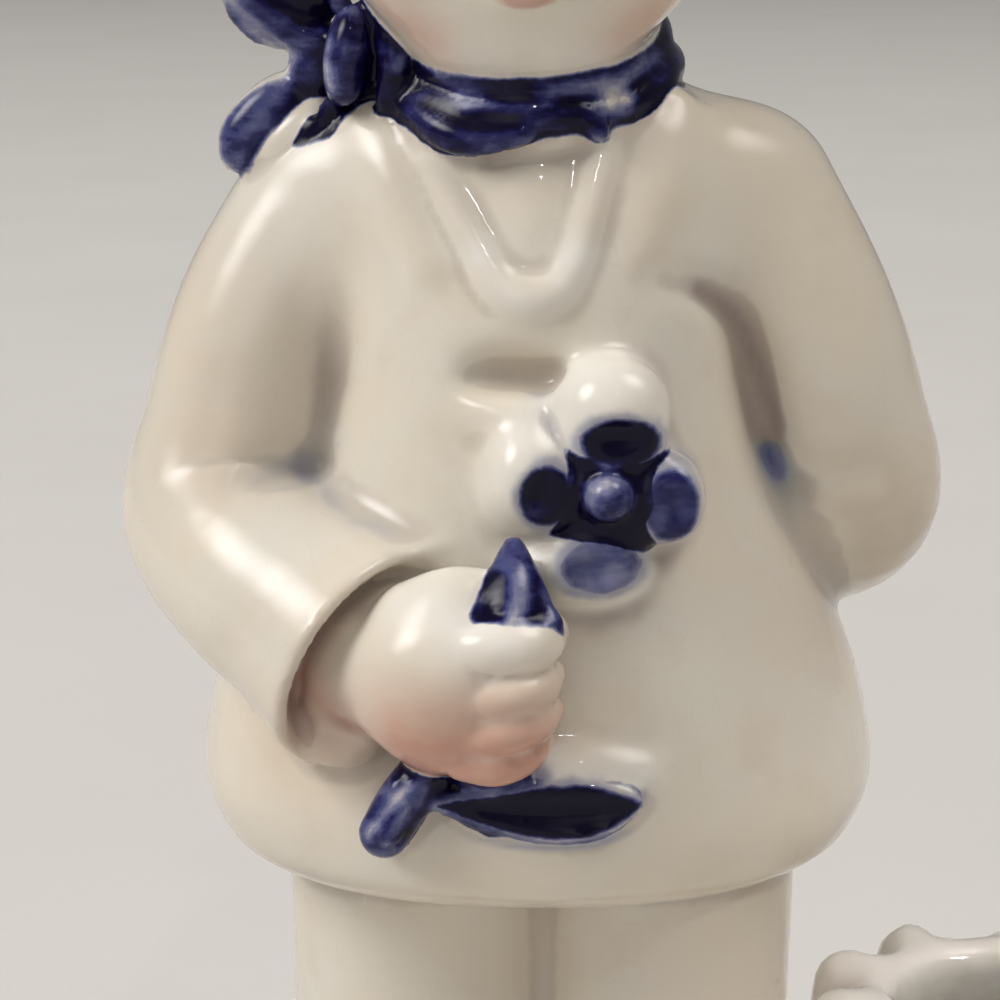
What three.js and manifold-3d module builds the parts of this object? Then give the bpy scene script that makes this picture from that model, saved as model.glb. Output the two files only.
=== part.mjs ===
// A glazed earthenware candleholder in the form of a standing child, cast in one piece: the child in a
// bell-shaped smock, a knotted scarf and wide trousers stands on a low oval plinth, holds a flower stem
// against the smock and keeps the other arm behind the back. A petalled candle cup stands beside the legs.
// Millimetres, +Z up, the child looks along -Y. The origin is on the underside, below the child's middle.
import * as THREE from "three";
import { ConvexGeometry } from "three/addons/geometries/ConvexGeometry.js";
import { mergeVertices } from "three/addons/utils/BufferGeometryUtils.js";
import Module from "manifold-3d";

const wasm = await Module();
wasm.setup();

// Driving dimensions
const plinth = { height: 7, edge: 2, childRadius: 28, cupRadius: 19.5 };
const cup = { x: 47.6, y: -11, rimZ: 34.4, petals: 10, petalTurn: 84 };
const socket = { floorZ: 12, floorRadius: 10.9, topRadius: 11.3 };
const trousers = { x: 1, top: 56, cuff: 15, spread: 12.3, halfWidth: 13.8, halfDepth: 14 };
const smock = { x: 0.5, hem: 47.1, neck: 126 };
const arm = { shoulderZ: 112, elbowX: 31, radius: 9.8 };
const scarf = { x: 0, z: 124.2, halfWidth: 12.3, halfDepth: 13.2, fold: 2.3, tiltDegrees: 12 };
const head = { x: -1, y: -1.5, z: 149, halfWidth: 20.4, halfDepth: 20, halfHeight: 21.4 };
const jaw = { y: -7.6, z: 141.4, halfWidth: 17.2, halfDepth: 13.6, halfHeight: 17.8 };
const hair = { thickness: 2.8, locks: 13, lockDepth: 1, twist: 0.5, fringeZ: 156, napeZ: 138 };

const vec = (x, y, z) => new THREE.Vector3(x, y, z);
const glaze = new THREE.MeshStandardMaterial({ color: 0xe9e1cf, roughness: 0.18, metalness: 0 });

// A closed three.js geometry as a solid that can be joined and cut.
function solid(geometry) {
  const bare = geometry.index ? geometry.toNonIndexed() : geometry.clone();
  bare.deleteAttribute("normal");
  bare.deleteAttribute("uv");
  const merged = mergeVertices(bare, 1e-4);
  return new wasm.Manifold(
    new wasm.Mesh({
      numProp: 3,
      vertProperties: merged.attributes.position.array,
      triVerts: new Uint32Array(merged.index.array),
    }),
  );
}

const fuse = (pieces) => pieces.reduce((whole, piece) => whole.add(piece));

// An ellipsoid with its own tilt, given in degrees about X, then Y, then Z.
function ball(centre, radii, tilt = [0, 0, 0], columns = 16, rows = 10) {
  const [x, y, z] = tilt.map(THREE.MathUtils.degToRad);
  const place = new THREE.Matrix4().compose(
    centre,
    new THREE.Quaternion().setFromEuler(new THREE.Euler(x, y, z, "ZYX")),
    radii,
  );
  return solid(new THREE.SphereGeometry(1, columns, rows).rotateX(Math.PI / 2).applyMatrix4(place));
}

const middle = (ring) => ring.reduce((sum, p) => sum.add(p), vec(0, 0, 0)).divideScalar(ring.length);

// A closed skin over rings of points, all with the same count, with a fan to a tip at each end.
function loft(rings, firstTip = middle(rings[0]), lastTip = middle(rings.at(-1))) {
  const sides = rings[0].length;
  const points = rings.flat().concat([firstTip, lastTip]);
  const index = [];
  rings.forEach((_, r) => {
    for (let s = 0; s < sides; s++) {
      const next = (s + 1) % sides;
      const [a, b] = [r * sides + s, r * sides + next];
      if (r === 0) index.push(b, a, points.length - 2);
      if (r === rings.length - 1) index.push(a, b, points.length - 1);
      else index.push(a, b, b + sides, a, b + sides, a + sides);
    }
  });
  const geometry = new THREE.BufferGeometry().setFromPoints(points);
  geometry.setIndex(index);
  return solid(geometry);
}

// A soft limb: a skin of round rings along a smooth line through [x, y, z, radius] stations, with
// a domed end before the first station and past the last.
function limb(stations, sides = 14, steps = 14) {
  const line = new THREE.CatmullRomCurve3(stations.map(([x, y, z]) => vec(x, y, z)));
  const thickness = new THREE.CatmullRomCurve3(stations.map(([, , , r], i) => vec(i, r, 0)));
  const frames = line.computeFrenetFrames(steps);
  const dome = THREE.MathUtils.degToRad(48);
  const radiusAt = (k) => thickness.getPoint(k / steps).y;
  const along = (k, push) => line.getPoint(k / steps).addScaledVector(frames.tangents[k], push);
  const ring = (k, squeeze, push) =>
    Array.from({ length: sides }, (_, s) => {
      const turn = (2 * Math.PI * s) / sides;
      const radius = radiusAt(k) * squeeze;
      return along(k, push)
        .addScaledVector(frames.normals[k], radius * Math.cos(turn))
        .addScaledVector(frames.binormals[k], radius * Math.sin(turn));
    });
  const rings = [ring(0, Math.cos(dome), -radiusAt(0) * Math.sin(dome))];
  for (let k = 0; k <= steps; k++) rings.push(ring(k, 1, 0));
  rings.push(ring(steps, Math.cos(dome), radiusAt(steps) * Math.sin(dome)));
  return loft(rings, along(0, -radiusAt(0)), along(steps, radiusAt(steps)));
}

// A turned-looking body of level rounded sections, each [z, half width, half depth, centre y].
function stack(sections, centreX, squareness, sides) {
  const sharp = 2 / squareness;
  const bend = (c) => Math.sign(c) * Math.abs(c) ** sharp;
  return loft(
    sections.map(([z, halfWidth, halfDepth, centreY]) =>
      Array.from({ length: sides }, (_, s) => {
        const turn = (2 * Math.PI * s) / sides;
        return vec(
          centreX + halfWidth * bend(Math.cos(turn)),
          centreY + halfDepth * bend(Math.sin(turn)),
          z,
        );
      }),
    ),
  );
}

// The low plinth runs from under the feet to under the candle cup.
function plinthSolid() {
  const levels = [
    [0, plinth.edge * 0.6],
    [plinth.edge * 0.6, 0],
    [plinth.height - plinth.edge, 0],
    [plinth.height, plinth.edge],
  ];
  const points = [];
  const rim = (x, y, radius, count) => {
    for (const [z, inset] of levels)
      for (let s = 0; s < count; s++) {
        const turn = (2 * Math.PI * s) / count;
        const r = radius - inset;
        points.push(vec(x + r * Math.cos(turn), y + r * Math.sin(turn), z));
      }
  };
  rim(0, -2, plinth.childRadius, 36);
  rim(cup.x, cup.y, plinth.cupRadius, 28);
  return solid(new ConvexGeometry(points));
}

// The cup is a flower: a turned body whose wall swells into standing petals round the plain lip.
function cupSolid() {
  const profile = [
    [0, 5],
    [13.4, 5],
    [14.2, 11],
    [17.2, 21],
    [20.9, 28.5],
    [20.9, 32],
    [18.4, 35.6],
    [15.6, 35.4],
    [13.8, cup.rimZ],
    [0, cup.rimZ],
  ].map(([r, z]) => new THREE.Vector2(r, z));
  const columns = cup.petals * 6;
  const shape = new THREE.LatheGeometry(profile, columns).rotateX(Math.PI / 2);
  const points = shape.attributes.position;
  for (let i = 0; i < points.count; i++) {
    const [x, y, z] = [points.getX(i), points.getY(i), points.getZ(i)];
    const turn = Math.atan2(y, x) - THREE.MathUtils.degToRad(cup.petalTurn);
    const valley = 1 - Math.abs(Math.cos((turn * cup.petals) / 2)) ** 0.8;
    const outward = THREE.MathUtils.smoothstep(Math.hypot(x, y), 12.8, 20);
    const inward = 1 - 0.17 * valley * outward;
    const lowered = z > 30 ? 3 * valley * outward : 0;
    points.setXYZ(i, x * inward, y * inward, z - lowered);
  }
  return solid(shape.translate(cup.x, cup.y, 0));
}

// The space for the candle, a little wider at the top and rounded at the lip.
function socketSolid() {
  const profile = [
    [0, socket.floorZ],
    [socket.floorRadius, socket.floorZ],
    [socket.topRadius, cup.rimZ - 1.6],
    [socket.topRadius + 1, cup.rimZ + 0.2],
    [socket.topRadius + 1, cup.rimZ + 8],
    [0, cup.rimZ + 8],
  ].map(([r, z]) => new THREE.Vector2(r, z));
  const turned = new THREE.LatheGeometry(profile, 30).rotateX(Math.PI / 2);
  return solid(turned.translate(cup.x, cup.y, 0));
}

// One trouser leg with its turned-up cuff, and the round shoe in front of it.
function legSolid(side) {
  const { top, cuff, spread, halfWidth, halfDepth } = trousers;
  const x = trousers.x + side * spread;
  const leg = stack(
    [
      [cuff - 0.8, halfWidth - 2.4, halfDepth - 2.4, 0],
      [cuff, halfWidth - 1, halfDepth - 0.6, 0],
      [cuff + 2, halfWidth - 0.4, halfDepth, 0],
      [cuff + 6, halfWidth - 0.8, halfDepth - 0.8, 0],
      [(top + cuff) / 2, halfWidth - 0.5, halfDepth - 0.5, 0],
      [top, halfWidth, halfDepth, 0],
    ],
    x,
    2.1,
    18,
  );
  const shoe = ball(vec(x + side * 0.6, -6.5, 10.4), vec(9.2, 14.6, 6.4), [0, 0, side * 8], 12, 8);
  return fuse([leg, shoe]);
}

// The smock flares from the shoulders to a thick rolled hem.
function smockSolid() {
  const { hem, neck } = smock;
  return stack(
    [
      [hem, 26.4, 21, -0.8],
      [hem + 1.1, 29.2, 24.2, -0.8],
      [hem + 3.4, 31.5, 26.6, -0.8],
      [hem + 7, 33.3, 27.6, -0.6],
      [hem + 10.5, 33.6, 27.6, -0.4],
      [hem + 15.5, 32.8, 26.8, 0],
      [hem + 21, 31.2, 25.5, 0],
      [hem + 29, 29, 24, 0],
      [hem + 39, 27, 22.6, -0.4],
      [hem + 49, 25.6, 21, -0.6],
      [hem + 58, 24.8, 19.4, -0.4],
      [hem + 65, 24, 17.6, 0],
      [hem + 70, 22.6, 15.8, 0],
      [hem + 73.6, 19.6, 13.8, 0],
      [hem + 76, 14.2, 11.6, 0],
      [neck, 10.5, 10, 0],
    ],
    smock.x,
    2.2,
    32,
  );
}

// The arm that holds the flower ends in a wide open cuff, with the wrist and the fist inside it.
function flowerArmSolid() {
  const sleeve = limb(
    [
      [-19.5, 0, arm.shoulderZ, 9],
      [-26, -1, 99, 9],
      [-arm.elbowX, -4, 83.5, arm.radius],
      [-25, -13, 77.5, 9.6],
      [-18.5, -19.5, 74.2, 9.8],
    ],
    12,
    9,
  );
  const place = new THREE.Matrix4().compose(
    vec(-15.6, -21.8, 73.2),
    new THREE.Quaternion().setFromUnitVectors(vec(0, 0, 1), vec(0.695, -0.658, -0.293)),
    vec(1, 1, 1),
  );
  const turned = (profile, sides) =>
    solid(
      new THREE.LatheGeometry(
        profile.map(([r, z]) => new THREE.Vector2(r, z)),
        sides,
      )
        .rotateX(Math.PI / 2)
        .applyMatrix4(place),
    );
  const bell = turned(
    [
      [0, -9],
      [9.4, -9],
      [10.8, -1.4],
      [10.6, 0],
      [9.8, 0.3],
      [0, 0.3],
    ],
    18,
  );
  const hollow = turned(
    [
      [0, -5.2],
      [6, -4.4],
      [9.6, 0.2],
      [13, 4],
      [0, 4],
    ],
    18,
  );
  const wrist = limb([[-17.5, -20.5, 74.5, 5], [-10, -27.5, 72, 6.4]], 8, 1);
  const palm = ball(vec(-7.3, -29.2, 71.4), vec(8.5, 6.8, 8.3), [0, 0, 0], 12, 8);
  const fingers = [75.4, 71.9, 68.6, 65.4].map((z, k) => {
    const tip = [0.2, 0.5, 0.4, -0.4][k];
    const thick = [2.3, 1.9, 1.9, 1.9][k];
    return limb([[-6, -33.6, z - 0.9, thick], [-1.6, -34, z, thick], [tip, -30.6, z + 0.4, thick]], 6, 2);
  });
  return fuse([fuse([sleeve, bell]).subtract(hollow), wrist, palm, ...fingers]);
}

// The other arm bends back, and its fist rests in the small of the back.
function backArmSolid() {
  const sleeve = limb(
    [
      [20, 0, arm.shoulderZ, 9],
      [27, 2, 99, 9],
      [arm.elbowX + 0.3, 6, 83, arm.radius],
      [26, 17.5, 76, 9.4],
      [13, 24.5, 72, 9.4],
    ],
    12,
    9,
  );
  const fist = ball(vec(-0.5, 26.5, 70), vec(8.2, 6.4, 7), [0, 0, 0], 10, 7);
  const fingers = Array.from({ length: 4 }, (_, k) => {
    const z = 74.2 - 3 * k;
    return limb([[-1, 31.2, z, 1.8], [-6, 29.4, z - 0.3, 1.8]], 5, 1);
  });
  return fuse([sleeve, fist, ...fingers]);
}

// Stem, leaf and the open flower, laid against the smock in relief.
function flowerSolid() {
  const centre = vec(6.7, -24, 87.8);
  const petals = [
    [84, 7.2, 4.7],
    [-4, 6, 4.2],
    [-100, 6.2, 4.8],
    [174, 6.4, 4.6],
  ].map(([angle, reach, size]) => {
    const turn = THREE.MathUtils.degToRad(angle);
    const at = centre.clone().add(vec(reach * Math.cos(turn), 0, reach * Math.sin(turn)));
    return ball(at, vec(size * 1.12, 4.6, size * 0.9), [0, 90 - angle, 0], 10, 6);
  });
  const heart = ball(centre.clone().add(vec(0, -1.6, 0)), vec(2.4, 4.6, 2.4), [0, 0, 0], 8, 6);
  const stems = [
    [[-1.4, -26, 84, 1], [-4.4, -28, 78.2, 1.9]],
    [[1.5, -26, 83.6, 1.2], [0.4, -28.6, 77.2, 1.8]],
    [[-8.6, -27.4, 63.5, 2.2], [-14, -27.4, 56.6, 2.5]],
  ].map((stations) => limb(stations, 6, 1));
  const leaf = ball(vec(1.9, -27, 58.9), vec(11, 2.4, 3.4), [10, -4, 4], 12, 6);
  return fuse([...petals, heart, ...stems, leaf]);
}

// The raised edge of the neck opening hangs in a narrow U below the scarf.
function neckOpeningSolid() {
  return limb(
    [
      [-10, -14.2, 119.5, 1.6],
      [-6.6, -18.8, 110, 1.6],
      [-3.8, -20.2, 106, 1.8],
      [-0.2, -20.6, 104.8, 1.9],
      [3.4, -20.2, 106, 1.8],
      [5.6, -19, 110, 1.6],
      [8.2, -14.2, 119.5, 1.6],
    ],
    6,
    10,
  );
}

// The scarf lies in two thick folds round the neck and is tied over the shoulder in a bow.
function scarfSolid() {
  const { z, halfWidth, halfDepth, fold, tiltDegrees } = scarf;
  const profile = [
    [0, -1.9],
    [0.8, -1.9],
    [1, -1.6],
    [1.14, -1],
    [1.02, 0],
    [1.08, 0.8],
    [0.94, 1.7],
    [0.72, 1.9],
    [0, 1.9],
  ].map(([r, height]) => new THREE.Vector2(r, height * fold));
  const folds = solid(
    new THREE.LatheGeometry(profile, 24)
      .rotateX(Math.PI / 2)
      .scale(halfWidth + 0.6, halfDepth + 0.6, 1)
      .rotateX(THREE.MathUtils.degToRad(tiltDegrees))
      .translate(scarf.x, -1, z),
  );
  const knot = ball(vec(-16.5, -9, 126), vec(3.2, 3.4, 4.6), [0, 20, 0], 8, 6);
  const hangingEnd = ball(vec(-19.2, -8.6, 126.4), vec(2.6, 2.6, 5.4), [0, 16, 0], 8, 6);
  const loop = limb(
    [
      [-19, -6, 126.5, 2],
      [-24.5, -4, 129.5, 2.4],
      [-28.4, -2, 135.5, 2.7],
      [-25, -1, 140, 2.6],
      [-20.6, -3, 136, 2.4],
      [-18, -5, 129, 2],
    ],
    6,
    12,
  );
  const end = ball(vec(-25.6, -3, 119.2), vec(6.6, 3, 3.9), [0, -42, 10], 10, 7);
  return fuse([folds, knot, hangingEnd, loop, end]);
}

// A short bowl of hair, whose locks run down from the crown in a slow twist.
function hairSolid() {
  const { x, y, z, halfWidth, halfDepth, halfHeight } = head;
  const { thickness, locks, lockDepth, twist, fringeZ, napeZ } = hair;
  const shape = new THREE.SphereGeometry(1, locks * 3, 9).rotateX(Math.PI / 2);
  const points = shape.attributes.position;
  for (let i = 0; i < points.count; i++) {
    const point = vec().fromBufferAttribute(points, i);
    const turn = Math.atan2(point.y, point.x) + twist * (1 - point.z);
    const fall = Math.min(1, Math.hypot(point.x, point.y) * 1.4);
    const valley = 1 - Math.abs(Math.cos((turn * locks) / 2));
    point.multiplyScalar(1 - (valley * fall * lockDepth) / halfWidth);
    points.setXYZ(i, point.x, point.y, point.z);
  }
  const bowl = solid(
    shape
      .scale(halfWidth + thickness, halfDepth + thickness, halfHeight + thickness)
      .translate(x, y + 1.4, z + 1),
  );
  const faceOpening = ball(vec(x, y - 20, fringeZ - 16.5), vec(18.4, 20, 16.5), [0, 0, 0], 18, 12);
  const below = solid(new THREE.BoxGeometry(80, 80, 40).translate(x, y, napeZ - 20));
  return bowl.subtract(faceOpening).subtract(below);
}

// A plain child's face with round cheeks.
function headSolid() {
  const { x, y, z, halfWidth, halfDepth, halfHeight } = head;
  const skull = ball(vec(x, y, z), vec(halfWidth, halfDepth, halfHeight), [0, 0, 0], 22, 12);
  const chinSize = vec(jaw.halfWidth, jaw.halfDepth, jaw.halfHeight);
  const chin = ball(vec(x, jaw.y, jaw.z), chinSize, [0, 0, 0], 18, 10);
  const nose = ball(vec(x, y - halfDepth - 0.4, z - 6.4), vec(2.2, 2, 1.9), [0, 0, 0], 8, 6);
  const features = [-1, 1].flatMap((side) => [
    ball(vec(x + side * 9.4, y - 11.6, z - 10), vec(7.4, 6.4, 7), [0, 0, 0], 10, 7),
    ball(vec(x + side * 20.2, y - 1, z - 7.5), vec(2.4, 3.4, 4.4), [0, 0, 0], 8, 6),
  ]);
  return fuse([skull, chin, nose, ...features, hairSolid()]);
}

const whole = fuse([
  plinthSolid(),
  cupSolid(),
  legSolid(-1),
  legSolid(1),
  smockSolid(),
  flowerArmSolid(),
  backArmSolid(),
  flowerSolid(),
  neckOpeningSolid(),
  scarfSolid(),
  headSolid(),
]).subtract(socketSolid());

const skin = whole.getMesh();
const geometry = new THREE.BufferGeometry();
geometry.setAttribute("position", new THREE.BufferAttribute(skin.vertProperties, skin.numProp));
geometry.setIndex(new THREE.BufferAttribute(skin.triVerts, 1));
geometry.computeVertexNormals();

const casting = new THREE.Mesh(geometry, glaze);
casting.name = "candleholder";
const part = new THREE.Group();
part.add(casting);

export default part;
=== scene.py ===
import bpy
import math
import numpy as np
from mathutils import Euler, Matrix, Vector


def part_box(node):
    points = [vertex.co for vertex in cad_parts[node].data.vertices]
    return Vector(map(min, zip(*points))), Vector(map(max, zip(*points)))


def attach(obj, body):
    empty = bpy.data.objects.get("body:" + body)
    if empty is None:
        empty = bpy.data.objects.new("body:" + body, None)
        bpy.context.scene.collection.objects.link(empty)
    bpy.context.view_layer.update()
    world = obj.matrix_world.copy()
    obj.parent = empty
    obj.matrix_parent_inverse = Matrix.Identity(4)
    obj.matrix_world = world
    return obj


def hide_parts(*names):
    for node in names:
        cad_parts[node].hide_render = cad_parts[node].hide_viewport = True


mm = 0.001

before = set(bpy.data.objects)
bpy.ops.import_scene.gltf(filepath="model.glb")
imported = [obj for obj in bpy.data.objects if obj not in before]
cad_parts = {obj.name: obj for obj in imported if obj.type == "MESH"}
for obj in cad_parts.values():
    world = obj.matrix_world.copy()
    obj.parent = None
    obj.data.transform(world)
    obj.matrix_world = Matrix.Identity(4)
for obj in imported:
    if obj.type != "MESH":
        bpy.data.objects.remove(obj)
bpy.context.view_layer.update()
castingLow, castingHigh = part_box("candleholder")
print("frame loaded, casting is", round((castingHigh.z - castingLow.z) / mm, 1), "mm tall")

# The casting is worked out in millimetres as one soft-edged form: every limb, fold and petal is a
# distance from its surface, and the forms melt into each other the way slip and glaze round a corner.
away = 8.0  # the distance given to any place that is far from every form
skinGrid = {
    "fine": 0.63,  # mm between grid planes where the modelling is delicate
    "coarse": 1.4,  # and elsewhere
    "opening": 0.08,  # how fast the spacing grows between the two
    "draft": (1.5, 1.3),
    "fineX": (-42, 17),
    "fineY": (-40, -9),
    "fineZ": (52, 153),
    "margin": 3,
}


def turnMatrix(tilt):
    return np.array(Euler([math.radians(a) for a in tilt], "XYZ").to_matrix())


def meet(a, b, soft):
    # the nearer of two forms, with a fillet of about that softness
    h = np.maximum(soft - np.abs(a - b), 0) / soft
    return np.minimum(a, b) - h * h * soft / 4


def carve(a, b, soft):
    # form a with form b taken out of it, and the edge rounded
    h = np.maximum(soft - np.abs(a + b), 0) / soft
    return np.maximum(a, -b) + h * h * soft / 4


def curveThrough(stations, steps=6):
    # a smooth line through rows of numbers, whatever each number means
    rows = np.array(stations, float)
    rows = np.vstack([2 * rows[0] - rows[1], rows, 2 * rows[-1] - rows[-2]])
    line = []
    for a, b, c, d in zip(rows[:-3], rows[1:-2], rows[2:-1], rows[3:]):
        for t in np.arange(steps) / steps:
            line.append(0.5 * (2 * b + (c - a) * t + (2 * a - 5 * b + 4 * c - d) * t * t
                               + (3 * b - 3 * c + d - a) * t ** 3))
    return np.array(line + [rows[-2]])


def form(low, high, distance, soft=1.5, cut=False):
    return {"low": np.array(low, float), "high": np.array(high, float), "distance": distance,
            "soft": soft, "cut": cut}


def ball(centre, radii, tilt=(0, 0, 0), soft=1.5, cut=False):
    turn = turnMatrix(tilt)
    centre, radii = np.array(centre, float), np.array(radii, float)
    reach = np.sqrt(((turn * radii) ** 2).sum(1))

    def distance(x, y, z):
        x, y, z = x - centre[0], y - centre[1], z - centre[2]
        near = steep = 0
        for i in range(3):
            u = (turn[0, i] * x + turn[1, i] * y + turn[2, i] * z) / radii[i]
            near = near + u * u
            steep = steep + (u / radii[i]) ** 2
        near, steep = np.sqrt(near), np.sqrt(steep)
        return near * (near - 1) / np.maximum(steep, 1e-4)

    return form(centre - reach, centre + reach, distance, soft, cut)


def limb(stations, soft=1.5, steps=6, cut=False):
    line = curveThrough(stations, steps)
    thick = line[:, 3:4]

    def distance(x, y, z):
        best = None
        for a, b in zip(line[:-1], line[1:]):
            u = b[:3] - a[:3]
            t = ((x - a[0]) * u[0] + (y - a[1]) * u[1] + (z - a[2]) * u[2]) / max(u @ u, 1e-9)
            t = np.clip(t, 0, 1)
            d = np.sqrt((x - a[0] - t * u[0]) ** 2 + (y - a[1] - t * u[1]) ** 2
                        + (z - a[2] - t * u[2]) ** 2) - (a[3] + t * (b[3] - a[3]))
            best = d if best is None else np.minimum(best, d)
        return best

    return form((line[:, :3] - thick).min(0), (line[:, :3] + thick).max(0), distance, soft, cut)


def stack(sections, centreX, squareness, edge=2.0, soft=1.5):
    # level rounded sections [z, half width, half depth, centre y], ended flat with a rounded edge
    table = curveThrough(sections, 5)
    bottom, top = table[0, 0], table[-1, 0]
    widest, deepest = table[:, 1].max(), table[:, 2].max()

    def distance(x, y, z):
        level = np.clip(z, bottom, top)
        w = np.interp(level, table[:, 0], table[:, 1])
        d = np.interp(level, table[:, 0], table[:, 2])
        middle = np.interp(level, table[:, 0], table[:, 3])
        a = np.maximum(np.abs(x - centreX) / w, 1e-3)
        b = np.maximum(np.abs(y - middle) / d, 1e-3)
        n = (a ** squareness + b ** squareness) ** (1 / squareness)
        steep = np.sqrt((a ** (squareness - 1) / w) ** 2 + (b ** (squareness - 1) / d) ** 2)
        side = (n - 1) * n ** (squareness - 1) / np.maximum(steep, 1e-4)
        cap = np.maximum(z - top, bottom - z)
        return carve(side, -cap, edge)

    return form((centreX - widest, -deepest - 2, bottom), (centreX + widest, deepest + 2, top),
                distance, soft)


# The forms, part by part
plinthSize = {"height": 7, "edge": 2, "childRadius": 28, "cupRadius": 19.5, "childY": -2}
cupSize = {
    "x": 47.6, "y": -11, "rimZ": 34.4, "floorZ": 12, "floorRadius": 10.9, "topRadius": 11.3,
    "reach": 22,  # half the width of everything about the cup
    "petals": 10, "petalTurn": 80.5,
    "petal": [[9.5, 0, 10, 3.8], [13.3, 0, 20, 4.5], [15.8, 0, 28.2, 4.8], [17, 0, 31.6, 3.6]],
    "outerDrop": 1.4,  # the petals away from the child stand this much lower
    "wall": ([5, 14, 25, 34.4], [9.5, 10.8, 13.2, 13.6]),
    "wallDrop": 0.9, "lip": 2.3,
}


def plinthForms():
    p, c = plinthSize, cupSize
    along = np.array([c["x"], c["y"] - p["childY"]])

    def distance(x, y, z):
        t = np.clip((x * along[0] + (y - p["childY"]) * along[1]) / (along @ along), 0, 1)
        radius = p["childRadius"] + t * (p["cupRadius"] - p["childRadius"])
        out = np.hypot(x - t * along[0], y - p["childY"] - t * along[1]) - radius + p["edge"]
        up = np.abs(z - p["height"] / 2) - p["height"] / 2 + p["edge"]
        outside = np.hypot(np.maximum(out, 0), np.maximum(up, 0))
        return np.minimum(np.maximum(out, up), 0) + outside - p["edge"]

    low = (-p["childRadius"], p["childY"] - p["childRadius"], 0)
    high = (c["x"] + p["cupRadius"], p["childY"] + p["childRadius"], p["height"])
    return [form(low, high, distance)]


def cupForms():
    c = cupSize
    petal = limb(c["petal"], steps=4)
    sector = 2 * math.pi / c["petals"]

    def fromAxis(x, y):
        return np.hypot(x - c["x"], y - c["y"])

    def petals(x, y, z):
        x, y = x - c["x"], y - c["y"]
        turn = np.arctan2(y, x) - math.radians(c["petalTurn"])
        turn = turn - sector * np.round(turn / sector)
        r = np.hypot(x, y)
        drop = c["outerDrop"] * np.clip((x + 8) / 10, 0, 1)
        return petal["distance"](r * np.cos(turn), r * np.sin(turn), z + drop)

    def bowl(x, y, z):
        wall = np.interp(z, *c["wall"])
        return carve(carve(fromAxis(x, y) - wall, c["rimZ"] - c["wallDrop"] - z, 1.6), z - 4, 1)

    def lip(x, y, z):
        return np.hypot(fromAxis(x, y) - c["topRadius"] - c["lip"], z - c["rimZ"] + c["lip"]) - c["lip"]

    def socket(x, y, z):
        wall = np.interp(z, [c["floorZ"], c["rimZ"]], [c["floorRadius"], c["topRadius"]])
        return carve(fromAxis(x, y) - wall, z - c["floorZ"], 1.0)

    reach = c["reach"]
    low = (c["x"] - reach, c["y"] - reach, 4)
    high = (c["x"] + reach, c["y"] + reach, c["rimZ"] + 3)
    above = (c["x"] + reach, c["y"] + reach, c["rimZ"] + 9)
    return [form(low, high, bowl), form(low, high, petals, soft=2.8), form(low, high, lip, soft=1.6),
            form((c["x"] - 12, c["y"] - 12, c["floorZ"]), above, socket, soft=0.9, cut=True)]


trouserSize = {"x": 1.0, "top": 56, "cuff": 15, "spread": 12.3, "halfWidth": 13.8, "halfDepth": 14}


def legForms():
    t = trouserSize
    # each height, and how much narrower and shallower the leg is there
    levels = [(t["cuff"] - 0.8, 1.6, 1.6), (t["cuff"] + 2, 0.4, 0), (t["cuff"] + 6, 0.8, 0.8),
              ((t["top"] + t["cuff"]) / 2, 0.5, 0.5), (t["top"], 0, 0)]
    sections = [[z, t["halfWidth"] - a, t["halfDepth"] - b, 0] for z, a, b in levels]
    return [stack(sections, t["x"] + side * t["spread"], 2.1, edge=1.6, soft=3.5) for side in (-1, 1)]


shoeSize = {"y": -6.5, "z": 10.4, "radii": (9.2, 14.6, 6.4), "outward": 0.6, "turn": 8}


def shoeForms():
    s, t = shoeSize, trouserSize
    return [ball((t["x"] + side * (t["spread"] + s["outward"]), s["y"], s["z"]), s["radii"],
                 (0, 0, side * s["turn"]), soft=1.2) for side in (-1, 1)]


smockSize = {"x": 0.5, "hem": 47.1, "neck": 126}
smockSections = [  # height above the hem, half width, half depth, middle from front to back
    (0, 28.4, 23.2, -0.8), (1.1, 29.6, 24.6, -0.8), (3.4, 31.6, 26.7, -0.8), (7, 33.3, 27.6, -0.6),
    (10.5, 33.6, 27.6, -0.4), (15.5, 32.8, 26.8, 0), (21, 31.2, 25.5, 0), (29, 27.8, 24, 0),
    (39, 23, 22.6, -0.4), (49, 20.4, 21, -0.6), (58, 20.2, 19.4, -0.4), (65, 20.6, 17.6, 0),
    (70, 20.4, 15.8, 0), (73.6, 18.4, 13.8, 0), (76, 14.2, 11.6, 0),
]


def smockForms():
    s = smockSize
    sections = [[s["hem"] + up, *rest] for up, *rest in smockSections] + [[s["neck"], 10.5, 10, 0]]
    # the body, the hollow and the fold above the flower, and the swelling over the leaf
    return [stack(sections, s["x"], 2.2, edge=3.5, soft=1.6),
            ball((-1.3, -20.7, 98.2), (5.3, 2.5, 2.2), (0, 4, 0), soft=3, cut=True),
            ball((-1.4, -19.7, 94.9), (4.6, 2.7, 1.4), (0, 4, 0), soft=2.5),
            ball((5, -26.2, 62.4), (6.2, 2.1, 1.7), (0, 5, 0), soft=3)]


armSize = {"shoulderZ": 112, "elbowX": 30.3, "radius": 9.8}
cuffSize = {"centre": (-15.7, -22.4, 71.9), "facing": (0.741, -0.551, -0.386), "radius": 11.5,
            "length": 11, "depth": 4.6}


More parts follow.
